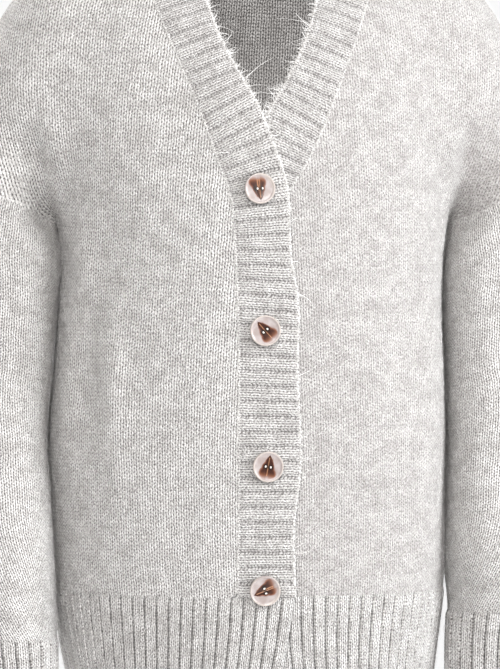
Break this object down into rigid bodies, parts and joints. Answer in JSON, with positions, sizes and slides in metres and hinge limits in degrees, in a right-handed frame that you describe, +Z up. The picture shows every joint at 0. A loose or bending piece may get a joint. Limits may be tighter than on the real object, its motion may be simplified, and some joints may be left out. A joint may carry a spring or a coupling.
{
  "type": "button cardigan",
  "caption": "Hollow worn V-neck cardigan in soft knit, with drop-shoulder sleeves, ribbed cuffs and hem, and a buttoned ribbed band that runs round the neck.",
  "frame": {"origin": "middle of the neck opening at the height of the wearer's shoulders", "axes": "+Z up along the wearer's body, -Y the way the wearer faces, -X the wearer's right"},
  "size_m": [0.5377, 0.2865, 0.7034],
  "materials": {
    "knit": "brushed melange knit",
    "rib": "brushed melange rib",
    "horn": "polished imitation horn"
  },
  "bodies": {
    "root": {"front_right": "knit", "front_left": "knit", "back": "knit", "sleeve_right": "knit", "sleeve_left": "knit", "cuff_right": "rib", "cuff_left": "rib", "hem_front_right": "rib", "hem_front_left": "rib", "hem_back": "rib", "band_right": "rib", "band_left": "rib", "button_1": "horn", "button_2": "horn", "button_3": "horn", "button_4": "horn"}
  },
  "joints": []
}
